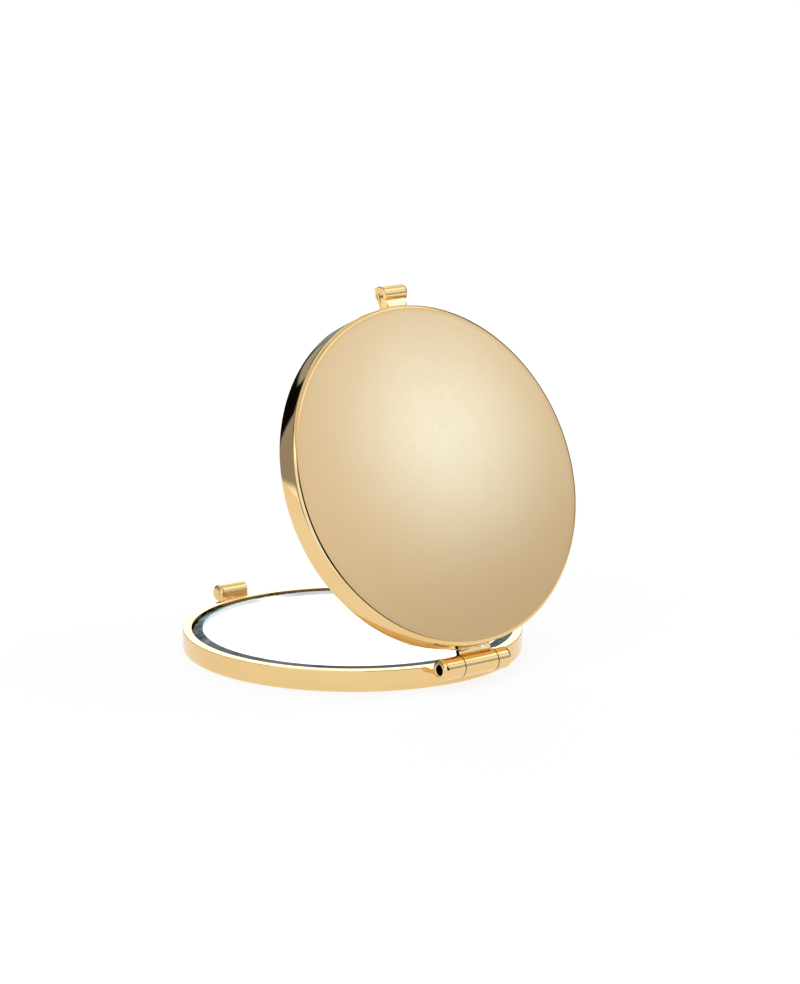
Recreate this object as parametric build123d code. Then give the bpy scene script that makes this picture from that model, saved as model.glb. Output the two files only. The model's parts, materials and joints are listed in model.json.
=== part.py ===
"""Round folding pocket mirror: two shallow metal pans, each holding a bevelled mirror, joined by a
three-knuckle hinge and closed by a pair of catch barrels with a sprung ball.

Millimetres, +Z up. The origin is the centre of the base's flat underside. The hinge is towards +Y and
its axis runs along X, and the catch is towards -Y. The lid is drawn closed and then swung open to the
angle at which the mirror stands.
"""

import os
from math import hypot, sqrt

from build123d import *

# Case
case_radius = 32.5
pocket_radius = 30.7
base_height = 4.2
lid_height = 4.75
lid_crown = 0.7
parting_gap = 0.1
overlap = 3
floor_thickness = 0.9
corner_radius = 0.85
edge_break = 0.12
lid_angle = 66.4

# Mirrors, from the pan's floor up: pad, paint, silver, glass
pad_radius = 28.0
paint_thickness = 0.04
silver_thickness = 0.02
glass_radius = 30.5
glass_thickness = 1.8
glass_recess = 0.04
bevel_width = 1.85
bevel_drop = 0.5
bevel_arris = 0.1

# Hinge
hinge_y = 35.35
hinge_z = 4.4
knuckle_radius = 2.1
knuckle_bore = 1.0
hinge_left_end = 8.0
middle_left_end = 3.1
middle_right_end = -4.7
hinge_right_end = -8.3
knuckle_gap = 0.2
knuckle_round = 0.95
leaf_thickness = 0.9
seam_radius = 0.35
pin_radius = 0.96
pin_wall = 0.25
pin_slot = 0.35
pin_recess = 2.0

# Catch
catch_y = -35.5
catch_z = 4.5
catch_radius = 1.67
catch_split = -0.7
catch_gap = 0.1
base_catch_length = 6.4
lid_catch_length = 5.55
catch_round = 0.7
far_end_round = 0.7
neck_length = 4.75
base_neck_thickness = 0.95
lid_neck_thickness = 1.35
flat_offset = 1.45
heel_length = 0.8
ramp_start = 0.65
ramp_depth = 0.2
mating_round = 0.2
ball_radius = 0.9
ball_clearance = 0.04
lip_thickness = 0.1
lip_hole_radius = 0.7
seat_clearance = 0.01
dimple_clearance = 0.05
plug_length = 0.9
plug_crown = 0.12
plug_clearance = 0.01
spring_wire_radius = 0.1
spring_coil_radius = 0.55
spring_pitch = 0.42

lid_floor = base_height + parting_gap
hinge_axis = Axis((0, hinge_y, hinge_z), (1, 0, 0))


def turned(*edges):
    """A solid turned about Z from the closed outline of edges, drawn as (radius, height)."""
    return revolve(Plane.XZ * make_face(list(edges)), Axis.Z)


def outline(*points):
    """The straight closed outline through points, given as (radius, height)."""
    return Polyline(*points, close=True)


def disc(radius, low, thickness):
    """A flat round layer that stands on the height low."""
    return Pos(0, 0, low) * Cylinder(radius, thickness, align=(Align.CENTER, Align.CENTER, Align.MIN))


def rod(radius, start, end, y, z):
    """A round bar along X from start to end, with its axis at y, z."""
    return Pos((start + end) / 2, y, z) * Rot(0, 90, 0) * Cylinder(radius, end - start)


def block(low, high):
    """A box between two opposite corners."""
    size = [b - a for a, b in zip(low, high)]
    middle = [(a + b) / 2 for a, b in zip(low, high)]
    return Pos(*middle) * Box(*size)


def circles_at(part, axis, place):
    """The round edges of part whose centre lies at place along axis (0, 1 or 2 for X, Y or Z)."""
    circles = part.edges().filter_by(GeomType.CIRCLE)
    return circles.filter_by(lambda edge: abs(tuple(edge.arc_center)[axis] - place) < 1e-4)


def seams(part, radius, y, z):
    """The straight edges along X where a leaf or neck meets a barrel with its axis at y, z."""
    lines = part.edges().filter_by(Axis.X)
    return lines.filter_by(lambda edge: abs(hypot((edge @ 0.5).Y - y, (edge @ 0.5).Z - z) - radius) < 1e-3)


def pan(height, crown):
    """A shallow round pan: floor at the bottom, open at the top, with an outer face crowned downwards."""
    foot = (case_radius, 0)
    rim = [(case_radius, height), (pocket_radius, height)]
    inside = [*rim, (pocket_radius, floor_thickness), (0, floor_thickness)]
    if crown:
        face = ThreePointArc((0, -crown), (case_radius / 2, -0.75 * crown), foot)
        part = turned(face, Polyline(foot, *inside, (0, -crown)))
    else:
        part = turned(outline((0, 0), foot, *inside))
    corner = circles_at(part, 2, 0).filter_by(lambda edge: edge.radius > pocket_radius)
    part = fillet(corner, corner_radius)
    return chamfer(circles_at(part, 2, height), edge_break)


def mirror_stack(height):
    """The mirror of a pan whose rim is at height: glass with a bevelled edge, silver, paint and pad."""
    glass_top = height - glass_recess
    glass_foot = glass_top - glass_thickness
    glass = turned(outline(
        (0, glass_foot),
        (glass_radius - bevel_arris, glass_foot),
        (glass_radius, glass_foot + bevel_arris),
        (glass_radius, glass_top - bevel_drop),
        (glass_radius - bevel_width, glass_top),
        (0, glass_top),
    ))
    silver_foot = glass_foot - silver_thickness
    paint_foot = silver_foot - paint_thickness
    coat_radius = glass_radius - 2 * bevel_arris
    return {
        "mirror_glass": glass,
        "mirror_silver": disc(coat_radius, silver_foot, silver_thickness),
        "mirror_paint": disc(coat_radius, paint_foot, paint_thickness),
        "adhesive_pad": disc(pad_radius, floor_thickness, paint_foot - floor_thickness),
    }


def turned_over(part):
    """A half drawn with its rim up, turned over so that its rim faces down on the closed base."""
    return Pos(0, 0, lid_floor + lid_height) * Rot(0, 180, 0) * part


def opened(part):
    """A lid part drawn closed, swung open about the hinge."""
    return part.rotate(hinge_axis, -lid_angle)


def case_wall():
    """The round space that the case takes up, for fitting a leaf or neck to its wall."""
    return disc(case_radius, -1, base_height + lid_height + 4)


def knuckle(start, end, leaf_low, leaf_high, outer_end=None):
    """A hinge knuckle with its pin hole and the leaf that joins it to the case; an outer end is rounded."""
    barrel = rod(knuckle_radius, start, end, hinge_y, hinge_z)
    if outer_end is not None:
        barrel = fillet(circles_at(barrel, 0, outer_end), knuckle_round)
    leaf = block(
        (start + edge_break, case_radius - overlap, leaf_low),
        (end - edge_break, hinge_y, leaf_high),
    )
    part = barrel + (leaf - case_wall())
    part = fillet(seams(part, knuckle_radius, hinge_y, hinge_z), seam_radius)
    part -= rod(knuckle_bore, start - 1, end + 1, hinge_y, hinge_z)
    if outer_end is not None:
        part = chamfer(circles_at(part, 0, outer_end).sort_by(Edge.length)[0], edge_break)
    return part


def hinge_parts():
    """The three knuckles, with the middle one on the lid, and the slotted spring pin."""
    left, right = hinge_left_end, hinge_right_end
    base_leaf = (base_height - leaf_thickness, base_height)
    lid_leaf = (lid_floor, lid_floor + leaf_thickness)
    pin = rod(pin_radius, right + pin_recess, left - pin_recess, hinge_y, hinge_z)
    pin -= rod(pin_radius - pin_wall, right, left, hinge_y, hinge_z)
    slot_side = pin_slot / 2
    pin -= block((right, hinge_y - slot_side, hinge_z - 2 * pin_radius), (left, hinge_y + slot_side, hinge_z))
    return {
        "base_hinge_knuckle_left": knuckle(middle_left_end + knuckle_gap, left, *base_leaf, left),
        "base_hinge_knuckle_right": knuckle(right, middle_right_end - knuckle_gap, *base_leaf, right),
        "lid_hinge_knuckle": opened(knuckle(middle_right_end, middle_left_end, *lid_leaf)),
        "hinge_pin": pin,
    }


def base_catch_parts():
    """The base's catch barrel with its ball, spring and plug, from the mating end outwards."""
    start = catch_split + catch_gap / 2
    end = start + base_catch_length
    bore = ball_radius + ball_clearance
    barrel = rod(catch_radius, start, end, catch_y, catch_z)
    barrel = fillet(circles_at(barrel, 0, end), catch_round)
    barrel = fillet(circles_at(barrel, 0, start), mating_round)
    neck = block(
        (start, catch_y, base_height - base_neck_thickness),
        (start + neck_length, -case_radius + overlap, base_height),
    )
    barrel += neck - case_wall()
    barrel -= rod(bore, start + lip_thickness, end + 1, catch_y, catch_z)
    barrel -= rod(lip_hole_radius, start - 1, end, catch_y, catch_z)
    ball_x = start + lip_thickness + sqrt(ball_radius**2 - lip_hole_radius**2) + seat_clearance
    plug_start = end - plug_length
    plug = rod(bore - plug_clearance, plug_start, end + plug_crown, catch_y, catch_z)
    plug = fillet(circles_at(plug, 0, end + plug_crown), 0.9 * plug_crown)
    return {
        "base_catch_barrel": barrel,
        "catch_ball": Pos(ball_x, catch_y, catch_z) * Sphere(ball_radius),
        "catch_spring": spring(ball_x, plug_start),
        "catch_plug": plug,
    }, ball_x


def spring(ball_x, plug_start):
    """The coil spring, which reaches from the back of the ball to the plug."""
    contact = sqrt(ball_radius**2 - spring_coil_radius**2)
    start = ball_x + contact + spring_wire_radius + 2 * seat_clearance
    end = plug_start - spring_wire_radius - seat_clearance
    centre = (start, catch_y, catch_z)
    path = Helix(spring_pitch, end - start, spring_coil_radius, center=centre, direction=(1, 0, 0))
    section = Plane(origin=path @ 0, z_dir=path % 0) * Circle(spring_wire_radius)
    return sweep(section, path=path, is_frenet=True)


def lid_catch_barrel(ball_x):
    """The lid's catch barrel, drawn closed: round outside, flat towards the mirror, with a ramp and a
    dimple for the ball on its mating end."""
    end = catch_split - catch_gap / 2
    start = end - lid_catch_length
    barrel = rod(catch_radius, start, end, catch_y, catch_z)
    barrel += block(
        (start, catch_y - catch_radius, catch_z - flat_offset),
        (end, catch_y + catch_radius + heel_length, catch_z),
    )
    barrel = fillet(barrel.faces().sort_by(Axis.X)[0].edges(), far_end_round)
    neck = block(
        (end - neck_length, catch_y, lid_floor),
        (end, -case_radius + overlap, lid_floor + lid_neck_thickness),
    )
    ramp = outline(
        (end, catch_z - ramp_start),
        (end + 1, catch_z - ramp_start),
        (end + 1, catch_z - catch_radius - 1),
        (end - ramp_depth, catch_z - flat_offset),
    )
    ramp = extrude(Plane.XZ * make_face(ramp), 2 * catch_radius, both=True)
    barrel += neck - case_wall()
    seam = seams(barrel, catch_radius, catch_y, catch_z).sort_by(Axis.Z)[-1]
    barrel = fillet(seam, seam_radius)
    barrel -= Pos(0, catch_y, 0) * ramp
    return barrel - Pos(ball_x, catch_y, catch_z) * Sphere(ball_radius + dimple_clearance)


def whole_mirror():
    """Every node of the mirror by name."""
    nodes = {
        "base_pan": pan(base_height, 0),
        "lid_pan": opened(turned_over(pan(lid_height, lid_crown))),
    }
    for name, part in mirror_stack(base_height).items():
        nodes[f"base_{name}"] = part
    for name, part in mirror_stack(lid_height).items():
        nodes[f"lid_{name}"] = opened(turned_over(part))
    nodes.update(hinge_parts())
    catch, ball_x = base_catch_parts()
    nodes.update(catch)
    nodes["lid_catch_barrel"] = opened(lid_catch_barrel(ball_x))
    return nodes


os.makedirs("parts", exist_ok=True)
for name, part in whole_mirror().items():
    export_step(part, f"parts/{name}.step")
    print(name, round(part.volume, 2))
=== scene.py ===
"""The look of a round gilt folding pocket mirror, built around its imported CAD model. Metres, +Z up."""

import json
import math

import bmesh
import bpy
from mathutils import Matrix, Vector


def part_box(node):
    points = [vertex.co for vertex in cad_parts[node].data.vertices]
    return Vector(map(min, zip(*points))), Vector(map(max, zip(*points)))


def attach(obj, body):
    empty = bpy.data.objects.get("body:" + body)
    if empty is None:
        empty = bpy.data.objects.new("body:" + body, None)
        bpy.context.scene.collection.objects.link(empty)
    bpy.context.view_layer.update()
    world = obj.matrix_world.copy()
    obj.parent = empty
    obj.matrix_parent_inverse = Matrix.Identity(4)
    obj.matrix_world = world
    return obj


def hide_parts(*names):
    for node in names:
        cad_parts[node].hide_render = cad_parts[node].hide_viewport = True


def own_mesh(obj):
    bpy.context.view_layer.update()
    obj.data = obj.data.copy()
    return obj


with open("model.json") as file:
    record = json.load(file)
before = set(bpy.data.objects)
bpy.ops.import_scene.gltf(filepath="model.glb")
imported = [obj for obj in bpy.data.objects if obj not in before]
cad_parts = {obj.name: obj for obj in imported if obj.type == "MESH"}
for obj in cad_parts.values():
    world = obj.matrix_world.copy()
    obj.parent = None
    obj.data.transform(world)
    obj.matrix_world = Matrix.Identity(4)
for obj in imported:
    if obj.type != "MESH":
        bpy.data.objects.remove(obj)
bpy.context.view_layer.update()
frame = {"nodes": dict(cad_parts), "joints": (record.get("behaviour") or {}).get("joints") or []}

mm = 0.001

# The camera: where it stands, seen from its target, and its lens
camera_azimuth = 140.583
camera_elevation = 12.786
camera_roll = 0.308
camera_distance = 799.6 * mm
camera_target = Vector((-11.581, 0, 28.945)) * mm
camera_lens = 152.64
sensor_width = 36
clip_near = 0.01
clip_far = 20

# Sizes of the pans and glasses, as the CAD model has them
corner_radius = 0.85 * mm
edge_radius = 0.12 * mm
floor_thickness = 0.9 * mm
wall_thickness = 1.8 * mm
lid_crown = 0.7 * mm
bevel_width = 1.85 * mm
bevel_drop = 0.5 * mm
arris_width = 0.1 * mm

# What the finish adds: the walls' bulge, the height up to which the lid's face is satin, polished arrises,
# and the glass's seat in its silver
wall_bulge = 0.05 * mm
satin_height = 0.02 * mm
arris_radius = 0.07 * mm
silver_sink = 0.01 * mm

# The parts of a knuckle or barrel with a finish of their own: the bore, and flat ends near a joint. The bore
# and the hinge knuckles' meeting ends take a near-black material, painted shade for the hole and the gaps
# between knuckles
bore_radius = 1.02 * mm
joint_reach = 0.5 * mm
end_facing = 0.999
polished_number, bore_shade_number, sawn_number = 0, 1, 2

# Fineness of the meshes, and the angles in degrees that tell arrises from curved faces
turned_steps = 720
face_steps = 40
corner_steps = 20
wall_steps = 12
rim_steps = 6
arris_segments = 3
on_axis = 1e-9
weld_distance = 0.0005 * mm
level_degrees = 0.5
arris_degrees = 35
crease_degrees = 32
turned_crease_degrees = 30
glass_crease_degrees = 5
flat_weight = 80


# ---------------------------------------------------------------- places from the frame

hinge = next(joint for joint in frame["joints"] if joint["name"] == "lid_hinge")
hinge_place = Vector(hinge["pos_m"])
lid_angle = math.radians(-hinge["range_deg"][0])
to_hinge = Matrix.Translation(hinge_place)
opening = to_hinge @ Matrix.Rotation(-lid_angle, 4, "X") @ to_hinge.inverted()
closing = opening.inverted()


def closed_box(node):
    """The lowest and highest corners that a lid node has while the lid is closed."""
    places = [closing @ v.co for v in frame["nodes"][node].data.vertices]
    low = Vector([min(p[i] for p in places) for i in range(3)])
    high = Vector([max(p[i] for p in places) for i in range(3)])
    return low, high


# ---------------------------------------------------------------- meshes

def new_object(name, mesh):
    """A linked object with the given mesh."""
    made = bpy.data.objects.new(name, mesh)
    bpy.context.scene.collection.objects.link(made)
    return made


def arc(centre, radius, start, end, steps):
    """Points of an arc, as (radius, height), from the angle start to the angle end in degrees."""
    angles = [math.radians(start + (end - start) * i / steps) for i in range(steps + 1)]
    return [(centre[0] + radius * math.cos(a), centre[1] + radius * math.sin(a)) for a in angles]


def folds(edge, degrees):
    """True if the two faces at an edge meet at more than this angle."""
    return len(edge.link_faces) == 2 and edge.calc_face_angle() > math.radians(degrees)


def one_finish(radius, height):
    """The material's number on a piece that has only one."""
    return 0


def lathe(name, profile, materials, material_at=one_finish, sharp_degrees=turned_crease_degrees):
    """A closed solid turned about Z from profile, a loop of (radius, height) that starts and ends on the
    axis. material_at gives the material's number from the middle of a profile edge."""
    made = bmesh.new()
    turn = [2 * math.pi * i / turned_steps for i in range(turned_steps)]
    rings = []
    for radius, height in profile:
        if radius < on_axis:
            rings.append([made.verts.new((0, 0, height))])
            continue
        rings.append([made.verts.new((radius * math.cos(a), radius * math.sin(a), height)) for a in turn])
    for lower, upper, start, end in zip(rings, rings[1:], profile, profile[1:]):
        number = material_at((start[0] + end[0]) / 2, (start[1] + end[1]) / 2)
        for i in range(turned_steps):
            j = (i + 1) % turned_steps
            corners = [ring[k % len(ring)] for ring, k in ((lower, i), (lower, j), (upper, j), (upper, i))]
            face = made.faces.new(list(dict.fromkeys(corners)))
            face.material_index = number
            face.smooth = True
    bmesh.ops.recalc_face_normals(made, faces=made.faces)
    for edge in made.edges:
        edge.smooth = not folds(edge, sharp_degrees)
    mesh = bpy.data.meshes.new(name)
    made.to_mesh(mesh)
    made.free()
    for material in materials:
        mesh.materials.append(material)
    return new_object(name, mesh)


# ---------------------------------------------------------------- material helpers

class Shader:
    """A material's node tree, with short calls for the nodes used here."""

    # A colour mix node keeps its colour sockets behind those for numbers and vectors
    first_colour, second_colour, mixed_colour = 6, 7, 2

    def __init__(self, name):
        self.material = bpy.data.materials.new(name)
        self.material.use_nodes = True
        self.tree = self.material.node_tree
        self.principled = self.tree.nodes["Principled BSDF"]
        self.place = self.tree.nodes.new("ShaderNodeTexCoord").outputs["Object"]

    def node(self, kind, **values):
        """A new node with its properties set."""
        made = self.tree.nodes.new(kind)
        for key, value in values.items():
            setattr(made, key, value)
        return made

    def link(self, source, target):
        """Joins a value or an output to an input."""
        if isinstance(source, bpy.types.NodeSocket):
            self.tree.links.new(source, target)
        else:
            target.default_value = source

    def set(self, **inputs):
        """Sets inputs of the Principled BSDF; an underscore in a name stands for a space."""
        for key, value in inputs.items():
            self.link(value, self.principled.inputs[key.replace("_", " ")])

    def noise(self, scale, detail=3.0, stretch=(1, 1, 1), roughness=0.5):
        """Noise with scale features in a metre, stretched along an axis by its factor."""
        mapping = self.node("ShaderNodeMapping")
        mapping.inputs["Scale"].default_value = stretch
        self.link(self.place, mapping.inputs["Vector"])
        made = self.node("ShaderNodeTexNoise")
        self.link(mapping.outputs["Vector"], made.inputs["Vector"])
        made.inputs["Scale"].default_value = scale
        made.inputs["Detail"].default_value = detail
        made.inputs["Roughness"].default_value = roughness
        return made.outputs["Fac"]

    def spread(self, value, low, high, start=0.3, end=0.7):
        """A value between start and end, mapped to between low and high."""
        made = self.node("ShaderNodeMapRange")
        self.link(value, made.inputs["Value"])
        for key, number in (("From Min", start), ("From Max", end), ("To Min", low), ("To Max", high)):
            self.link(number, made.inputs[key])
        return made.outputs["Result"]

    def mix(self, factor, first, second):
        """A colour between first and second."""
        made = self.node("ShaderNodeMix", data_type="RGBA")
        self.link(factor, made.inputs["Factor"])
        self.link((*first, 1), made.inputs[self.first_colour])
        self.link((*second, 1), made.inputs[self.second_colour])
        return made.outputs[self.mixed_colour]

    def add(self, first, second):
        """The sum of two values."""
        made = self.node("ShaderNodeMath", operation="ADD")
        self.link(first, made.inputs[0])
        self.link(second, made.inputs[1])
        return made.outputs["Value"]

    def bump(self, height, depth):
        """Relief of the given depth in metres, from a height between 0 and 1."""
        made = self.node("ShaderNodeBump")
        made.inputs["Strength"].default_value = 1.0
        made.inputs["Distance"].default_value = depth
        self.link(height, made.inputs["Height"])
        self.link(made.outputs["Normal"], self.principled.inputs["Normal"])


def gilt(name, light, dark, smooth, rough, wave_depth, grain_depth):
    """Gold plate: a slightly uneven tone, polishing haze, shallow waves left by the buff and a fine grain."""
    shader = Shader(name)
    tone = shader.noise(60, detail=4)
    haze = shader.noise(350, detail=5, roughness=0.65)
    lines = shader.noise(900, detail=2, stretch=(1, 12, 12))
    grain = shader.noise(9000, detail=2)
    waves = shader.noise(120, detail=1)
    shader.set(
        Metallic=1.0,
        Base_Color=shader.mix(shader.spread(tone, 0, 1), light, dark),
        Roughness=shader.add(shader.spread(haze, smooth, rough), shader.spread(lines, 0, 0.25 * smooth)),
    )
    height = shader.add(shader.spread(grain, 0, grain_depth / wave_depth, 0, 1), waves)
    shader.bump(height, wave_depth)
    return shader.material


polished = gilt("polished_gilt", (0.865, 0.61, 0.29), (0.81, 0.545, 0.235), 0.03, 0.07, 1.2e-6, 0.02e-6)
satin = gilt("satin_gilt", (0.86, 0.61, 0.33), (0.84, 0.59, 0.31), 0.125, 0.135, 1.2e-6, 0.01e-6)


def sawn_material():
    """A sawn and lightly brushed end: the plate is matt, with fine straight marks."""
    shader = Shader("sawn_gilt")
    marks = shader.noise(6000, detail=3, stretch=(1, 0.15, 1))
    shader.set(
        Metallic=1.0,
        Base_Color=shader.mix(shader.spread(marks, 0, 1), (0.98, 0.62, 0.25), (0.93, 0.57, 0.21)),
        Roughness=shader.spread(marks, 0.13, 0.16),
    )
    shader.bump(marks, 0.04e-6)
    return shader.material


def bore_shade_material():
    """The bore of a knuckle and the hinge knuckles' meeting ends: painted shade, a near-black colour that
    stands in for the shade in the hole and the gaps between knuckles, with the ring marks and dull roughness
    of drilled metal.
    """
    shader = Shader("drilled_bore_painted_shade")
    rings = shader.noise(2500, detail=2, stretch=(8, 1, 1))
    shader.set(
        Metallic=1.0,
        Base_Color=shader.mix(shader.spread(rings, 0, 1), (0.05, 0.035, 0.02), (0.02, 0.014, 0.008)),
        Roughness=shader.spread(rings, 0.5, 0.7),
    )
    shader.bump(rings, 5e-6)
    return shader.material


def glass_material():
    """Clear float glass, faintly green, with faint wipe marks in its gloss."""
    shader = Shader("mirror_glass")
    wipe = shader.noise(250, detail=4, stretch=(1, 6, 1))
    shader.set(
        Base_Color=shader.mix(shader.spread(wipe, 0, 1), (0.95, 0.985, 0.98), (0.93, 0.98, 0.97)),
        Roughness=shader.spread(wipe, 0.0, 0.004),
        IOR=1.52,
        Transmission_Weight=1.0,
    )
    return shader.material


def silver_material():
    """The bright silver coat behind the glass."""
    shader = Shader("mirror_silver")
    tone = shader.noise(200, detail=3)
    shader.set(
        Base_Color=shader.mix(shader.spread(tone, 0, 1), (0.80, 0.832, 0.836), (0.79, 0.824, 0.828)),
        Roughness=shader.spread(tone, 0.0, 0.006),
        Metallic=1.0,
    )
    return shader.material


def paint_material():
    """The grey-green paint that guards the silver."""
    shader = Shader("backing_paint")
    mottle = shader.noise(900, detail=4)
    shader.set(
        Base_Color=shader.mix(shader.spread(mottle, 0, 1), (0.16, 0.19, 0.18), (0.11, 0.13, 0.125)),
        Roughness=shader.spread(mottle, 0.45, 0.65),
    )
    shader.bump(mottle, 8e-6)
    return shader.material


def foam_material():
    """White closed-cell foam tape."""
    shader = Shader("foam_pad")
    voronoi = shader.node("ShaderNodeTexVoronoi")
    voronoi.inputs["Scale"].default_value = 4000
    shader.link(shader.place, voronoi.inputs["Vector"])
    cells = voronoi.outputs["Distance"]
    shader.set(
        Base_Color=shader.mix(shader.spread(cells, 0, 1), (0.62, 0.61, 0.58), (0.82, 0.81, 0.78)),
        Roughness=0.9,
    )
    shader.bump(cells, 40e-6)
    return shader.material


def steel_material(name, light, dark, smooth, rough, stretch, depth):
    """Bright steel with drawing or turning lines that run along one direction."""
    shader = Shader(name)
    lines = shader.noise(3000, detail=3, stretch=stretch)
    shader.set(
        Metallic=1.0,
        Base_Color=shader.mix(shader.spread(lines, 0, 1), light, dark),
        Roughness=shader.spread(lines, smooth, rough),
    )
    shader.bump(lines, depth)
    return shader.material


# The bore's material is near-black painted shade for the holes and the gaps between knuckles
bore_shade = bore_shade_material()
sawn = sawn_material()
glass = glass_material()
silver = silver_material()
paint = paint_material()
foam = foam_material()
pin_steel = steel_material(
    "pin_steel", (0.50, 0.48, 0.45), (0.36, 0.34, 0.32), 0.22, 0.38, (0.1, 1, 1), 3e-6,
)
ball_steel = steel_material(
    "ball_steel", (0.72, 0.72, 0.72), (0.62, 0.62, 0.62), 0.04, 0.10, (1, 1, 1), 0.5e-6,
)
spring_steel = steel_material(
    "spring_steel", (0.45, 0.45, 0.46), (0.32, 0.32, 0.33), 0.20, 0.35, (0.3, 1, 1), 2e-6,
)

slot_materials = {
    "polished_gilt": polished,
    "satin_gilt": satin,
    "mirror_glass": glass,
    "mirror_silver": silver,
    "backing_paint": paint,
    "foam_pad": foam,
    "pin_steel": pin_steel,
    "ball_steel": ball_steel,
    "spring_steel": spring_steel,
}
slot_nodes = {
    "polished_gilt": [
        "base_pan", "base_hinge_knuckle_left", "base_hinge_knuckle_right", "lid_hinge_knuckle",
        "base_catch_barrel", "lid_catch_barrel", "catch_plug",
    ],
    "satin_gilt": ["lid_pan"],
    "mirror_glass": ["base_mirror_glass", "lid_mirror_glass"],
    "mirror_silver": ["base_mirror_silver", "lid_mirror_silver"],
    "backing_paint": ["base_mirror_paint", "lid_mirror_paint"],
    "foam_pad": ["base_adhesive_pad", "lid_adhesive_pad"],
    "pin_steel": ["hinge_pin"],
    "ball_steel": ["catch_ball"],
    "spring_steel": ["catch_spring"],
}
for slot, nodes in slot_nodes.items():
    for node in nodes:
        piece = frame["nodes"][node]
        piece.data.materials.clear()
        piece.data.materials.append(slot_materials[slot])


# ---------------------------------------------------------------- the two pans

def pan_profile(radius, height, crown):
    """A pan drawn with its rim up: crowned outer face, rounded corner, bulged wall and rounded rim. The
    crown and the bulge are parabolas, and the corner's arc starts and ends along their slopes."""
    inner = radius - wall_thickness
    rim = height - edge_radius
    wall_slope = math.atan(4 * wall_bulge / (rim - corner_radius))
    edge_slope = 2 * crown / radius
    end = radius - wall_bulge - corner_radius * (1 - math.sin(edge_slope))
    rise = [crown * (end * i / face_steps / radius)**2 - crown for i in range(face_steps + 1)]
    face = [(end * i / face_steps, level) for i, level in enumerate(rise[:-1])]
    centre = (radius - wall_bulge - corner_radius, rise[-1] + corner_radius * math.cos(edge_slope))
    corner_start = -90 + math.degrees(edge_slope)
    corner = arc(centre, corner_radius, corner_start, -math.degrees(wall_slope), corner_steps)
    foot = corner[-1][1]
    shares = [i / wall_steps for i in range(1, wall_steps)]
    wall = [(radius - wall_bulge * (2 * share - 1)**2, foot + (rim - foot) * share) for share in shares]
    outer_rim = arc((radius - wall_bulge - edge_radius, rim), edge_radius, 0, 90, rim_steps)
    inner_rim = arc((inner + edge_radius, rim), edge_radius, 90, 180, rim_steps)
    return [*face, *corner, *wall, *outer_rim, *inner_rim, (inner, floor_thickness), (0, floor_thickness)]


def glass_profile(radius, foot, top):
    """A round glass drawn face up: ground edge, bevelled rim and flat middle."""
    flat = radius - bevel_width
    return [
        (0, foot), (radius - arris_width, foot), (radius, foot + arris_width), (radius, top - bevel_drop),
        (flat, top), (0, top),
    ]


base_low, base_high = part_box("base_pan")
case_radius = (base_high.x - base_low.x) / 2
base_height = base_high.z - base_low.z
lid_low, lid_high = closed_box("lid_pan")
lid_height = lid_high.z - lid_low.z - lid_crown


def satin_on_face(radius, height):
    """The lid pan's material number: satin on the crowned face, polished on the rest."""
    return 1 if height < satin_height and radius < case_radius - corner_radius else 0


base_shell = lathe("base_shell", pan_profile(case_radius, base_height, 0), [polished])
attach(base_shell, "base")
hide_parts("base_pan")

lid_profile = pan_profile(case_radius, lid_height, lid_crown)
lid_shell = lathe("lid_shell", lid_profile, [polished, satin], satin_on_face)
turned_over = Matrix.Rotation(math.pi, 4, "Y")
lid_shell.data.transform(opening @ Matrix.Translation((0, 0, lid_low.z + lid_height)) @ turned_over)
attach(lid_shell, "lid")
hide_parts("lid_pan")


# ---------------------------------------------------------------- hinge and catch

def finished(node, body, name, ends):
    """The CAD part with its sharp arrises rounded as a polisher leaves them. ends gives the lowest and
    highest x of the flat end faces with a finish of their own, and that finish's number; faces inside the
    bore take the near-black bore material, painted shade for the hole."""
    made = bmesh.new()
    made.from_mesh(frame["nodes"][node].data)
    bmesh.ops.remove_doubles(made, verts=made.verts, dist=weld_distance)
    level = math.radians(level_degrees)
    bmesh.ops.dissolve_limit(made, angle_limit=level, verts=made.verts, edges=made.edges)
    sharp = [edge for edge in made.edges if folds(edge, arris_degrees)]
    bmesh.ops.bevel(
        made, geom=sharp, offset=arris_radius, segments=arris_segments, profile=0.5, affect="EDGES",
        clamp_overlap=True,
    )
    bmesh.ops.triangulate(made, faces=[face for face in made.faces if len(face.verts) > 4])
    for face in made.faces:
        face.smooth = True
        middle = face.calc_center_median()
        across = middle - hinge_place
        # Faces inside the bore get the near-black painted shade of the hole
        if math.hypot(across.y, across.z) < bore_radius:
            face.material_index = bore_shade_number
        elif abs(face.normal.x) > end_facing:
            numbers = [number for low, high, number in ends if low < middle.x < high]
            face.material_index = numbers[0] if numbers else polished_number
    for edge in made.edges:
        edge.smooth = not folds(edge, crease_degrees)
    mesh = bpy.data.meshes.new(name)
    made.to_mesh(mesh)
    made.free()
    for material in (polished, bore_shade, sawn):
        mesh.materials.append(material)
    piece = new_object(name, mesh)
    shading = piece.modifiers.new("level_flats", "WEIGHTED_NORMAL")
    shading.keep_sharp = True
    shading.weight = flat_weight
    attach(piece, body)
    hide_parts(node)


joints_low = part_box("lid_hinge_knuckle")[0].x - joint_reach
joints_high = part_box("lid_hinge_knuckle")[1].x + joint_reach
catch_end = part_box("lid_catch_barrel")[1].x
# The hinge knuckles' meeting ends get the bore's near-black material, painted shade for the gaps between
# knuckles; the catch's end is matt sawn gilt
for node, body, ends in (
    ("base_hinge_knuckle_left", "base", [(joints_low, joints_high, bore_shade_number)]),
    ("base_hinge_knuckle_right", "base", [(joints_low, joints_high, bore_shade_number)]),
    ("lid_hinge_knuckle", "lid", [(joints_low, joints_high, bore_shade_number)]),
    ("base_catch_barrel", "base", []),
    ("lid_catch_barrel", "lid", [(catch_end - joint_reach, catch_end + joint_reach, sawn_number)]),
):
    finished(node, body, f"{node}_polished", ends)


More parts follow.
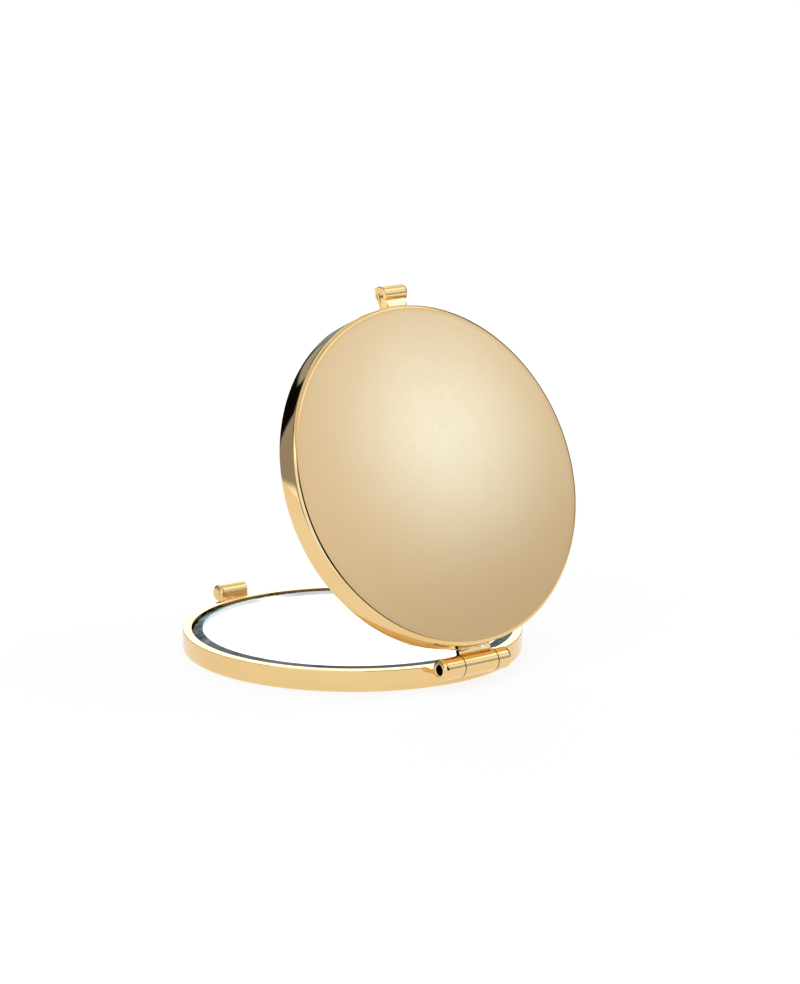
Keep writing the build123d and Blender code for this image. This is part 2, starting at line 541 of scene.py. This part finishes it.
# The catch's spring, a smooth-shaded copy of its CAD part
coil = new_object("catch_coil", frame["nodes"]["catch_spring"].data.copy())
for face in coil.data.polygons:
    face.use_smooth = True
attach(coil, "base")
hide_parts("catch_spring")
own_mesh(coil)


# ---------------------------------------------------------------- the two mirror glasses

lid_turn = opening @ Matrix.Translation((0, 0, lid_high.z + lid_low.z)) @ turned_over
glass_low, glass_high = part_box("base_mirror_glass")
glass_radius = (glass_high.x - glass_low.x) / 2
for half, place in (("base", Matrix.Identity(4)), ("lid", lid_turn)):
    node = f"{half}_mirror_glass"
    back_to_bench = place.inverted()
    heights = [(back_to_bench @ v.co).z for v in frame["nodes"][node].data.vertices]
    profile = glass_profile(glass_radius, min(heights) - silver_sink, max(heights))
    pane = lathe(f"{half}_glass", profile, [glass], sharp_degrees=glass_crease_degrees)
    pane.data.transform(place)
    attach(pane, half)
    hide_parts(node)


# ---------------------------------------------------------------- floor

sheet_turn = 16.5
sheet_low = (-0.150, -0.330)
sheet_high = (0.125, 0.150)
sheet_drop = 0.02 * mm

sheet_corners = [
    (sheet_low[0], sheet_low[1]),
    (sheet_high[0], sheet_low[1]),
    (sheet_high[0], sheet_high[1]),
    (sheet_low[0], sheet_high[1]),
]
floor_mesh = bpy.data.meshes.new("floor")
floor_mesh.from_pydata([(x, y, base_low.z - sheet_drop) for x, y in sheet_corners], [], [(0, 1, 2, 3)])
floor_mesh.transform(Matrix.Rotation(math.radians(sheet_turn), 4, "Z"))
floor = new_object("floor", floor_mesh)
floor_shader = Shader("floor")
floor_shader.set(
    Base_Color=(0.2, 0.2, 0.2, 1),
    Roughness=0.9,
    Specular_IOR_Level=0.0,
    Emission_Color=(1, 1, 1, 1),
    Emission_Strength=0.85,
)
floor_mesh.materials.append(floor_shader.material)


# ---------------------------------------------------------------- light

# Soft panels in the directions that the mirrors and the gilt reflect. Each row gives azimuth, elevation, half
# width, half height, softness and tilt in degrees, then colour and brightness.
white = (1.0, 1.0, 1.0)
cool = (0.25, 0.52, 1.0)
pale = (0.84, 0.98, 1.20)
teal = (0.74, 0.92, 0.97)
dusk = (0.80, 0.81, 0.96)
panels = [
    # The base's mirror
    (321.5, 13, 5.5, 21, 1, 0, white, 2.0),
    # The back of the lid
    (225, 32, 34, 20, 2, 0, white, 0.42),
    (225, 35.5, 34, 16.5, 6, 0, white, 0.40),
    (224.5, 25, 3.5, 2.8, 3.2, 0, cool, 1.9),
    (225, 62, 190, 24, 6, 0, white, 0.80),
    # Walls, hinge and catch
    (235, -12, 90, 11.5, 1, 0, white, 0.9),
    (228, 4, 20, 11, 4, 0, white, 0.5),
    (117, 13, 33, 31, 2, 0, pale, 1.25),
    (50, 4, 32, 24, 1.5, 0, dusk, 0.45),
    (39, -15.5, 15, 8.5, 2, 0, white, 0.95),
    # The bevel round the base's mirror
    (347, 33, 20, 12, 1, 0, teal, 0.9),
    (349, 14, 12, 2.1, 0.8, 19, dusk, 0.5),
    (332, 9, 5, 14, 1.5, 0, teal, 0.38),
    (303, 31, 12, 17, 2, 0, teal, 0.6),
]
studio_dark = (0.004, 0.004, 0.004)
backdrop_brightness = 1.1

world = bpy.data.worlds.new("studio")
bpy.context.scene.world = world
world.use_nodes = True
tree = world.node_tree
tree.nodes.clear()


def feed(sockets, values):
    """Joins each value or output to its input."""
    for socket, value in zip(sockets, values):
        if isinstance(value, bpy.types.NodeSocket):
            tree.links.new(value, socket)
        else:
            socket.default_value = value


def world_math(operation, *values):
    """A math node of the world, from outputs or numbers."""
    made = tree.nodes.new("ShaderNodeMath")
    made.operation = operation
    feed(made.inputs, values)
    return made.outputs["Value"]


def times(first, second):
    """The product of two outputs or numbers."""
    return world_math("MULTIPLY", first, second)


def scaled(colour, factor):
    """A colour times a number."""
    made = tree.nodes.new("ShaderNodeVectorMath")
    made.operation = "SCALE"
    feed((made.inputs["Vector"], made.inputs["Scale"]), (colour, factor))
    return made.outputs["Vector"]


def mingled(first, second):
    """The sum of two colours."""
    made = tree.nodes.new("ShaderNodeVectorMath")
    made.operation = "ADD"
    feed(made.inputs, (first, second))
    return made.outputs["Vector"]


def soft_edge(offset, half_width, softness):
    """1 while an angle is less than half_width from a panel's middle and 0 past it, with a smooth fall."""
    made = tree.nodes.new("ShaderNodeMapRange")
    made.interpolation_type = "SMOOTHSTEP"
    inner, outer = math.radians(half_width - softness), math.radians(half_width + softness)
    sockets = [made.inputs[key] for key in ("Value", "From Min", "From Max", "To Min", "To Max")]
    feed(sockets, (world_math("ABSOLUTE", offset), inner, outer, 1.0, 0.0))
    return made.outputs["Result"]


direction = tree.nodes.new("ShaderNodeTexCoord").outputs["Generated"]
split = tree.nodes.new("ShaderNodeSeparateXYZ")
tree.links.new(direction, split.inputs["Vector"])
x, y, z = split.outputs
height_angle = world_math("ARCSINE", z)
turn_angle = world_math("ARCTAN2", x, times(y, -1.0))

light = studio_dark
for azimuth, elevation, half_width, half_height, softness, tilt, colour, brightness in panels:
    off_turn = world_math("SUBTRACT", turn_angle, math.radians(azimuth))
    off_turn = world_math("WRAP", off_turn, math.pi, -math.pi)
    off_height = world_math("SUBTRACT", height_angle, math.radians(elevation))
    lean, rise = math.cos(math.radians(tilt)), math.sin(math.radians(tilt))
    along = world_math("ADD", times(off_turn, lean), times(off_height, rise))
    over = world_math("SUBTRACT", times(off_height, lean), times(off_turn, rise))
    cover = times(soft_edge(along, half_width, softness), soft_edge(over, half_height, softness))
    light = mingled(light, scaled(colour, times(cover, brightness)))

# The camera sees a plain pale backdrop in place of the panels
studio = tree.nodes.new("ShaderNodeBackground")
tree.links.new(light, studio.inputs["Color"])
studio.inputs["Strength"].default_value = 1.0
backdrop = tree.nodes.new("ShaderNodeBackground")
backdrop.inputs["Strength"].default_value = backdrop_brightness
backdrop.inputs["Color"].default_value = (1, 1, 1, 1)
seen = tree.nodes.new("ShaderNodeMixShader")
tree.links.new(tree.nodes.new("ShaderNodeLightPath").outputs["Is Camera Ray"], seen.inputs["Fac"])
tree.links.new(studio.outputs["Background"], seen.inputs[1])
tree.links.new(backdrop.outputs["Background"], seen.inputs[2])
tree.links.new(seen.outputs["Shader"], tree.nodes.new("ShaderNodeOutputWorld").inputs["Surface"])

# Light passes many times between the mirrors, the glass and the gilt
mirror_bounces = 48
bpy.context.scene.view_settings.view_transform = "Standard"
for limit in ("max_bounces", "glossy_bounces", "transmission_bounces"):
    setattr(bpy.context.scene.cycles, limit, mirror_bounces)


# ---------------------------------------------------------------- camera

def towards(azimuth, elevation):
    """The direction from the object to a place at this azimuth and elevation in degrees."""
    a, e = math.radians(azimuth), math.radians(elevation)
    return Vector((math.sin(a) * math.cos(e), -math.cos(a) * math.cos(e), math.sin(e)))


back = towards(camera_azimuth, camera_elevation)
level_right = (-back).cross(Vector((0, 0, 1))).normalized()
level_up = level_right.cross(-back)
roll = math.radians(camera_roll)
right = math.cos(roll) * level_right + math.sin(roll) * level_up
up = math.cos(roll) * level_up - math.sin(roll) * level_right
facing = Matrix((right, up, back)).transposed().to_4x4()
camera = bpy.data.objects.new("camera", bpy.data.cameras.new("camera"))
bpy.context.scene.collection.objects.link(camera)
camera.matrix_world = Matrix.Translation(camera_target + back * camera_distance) @ facing
camera.data.lens = camera_lens
camera.data.sensor_width = sensor_width
camera.data.clip_start = clip_near
camera.data.clip_end = clip_far
bpy.context.scene.camera = camera
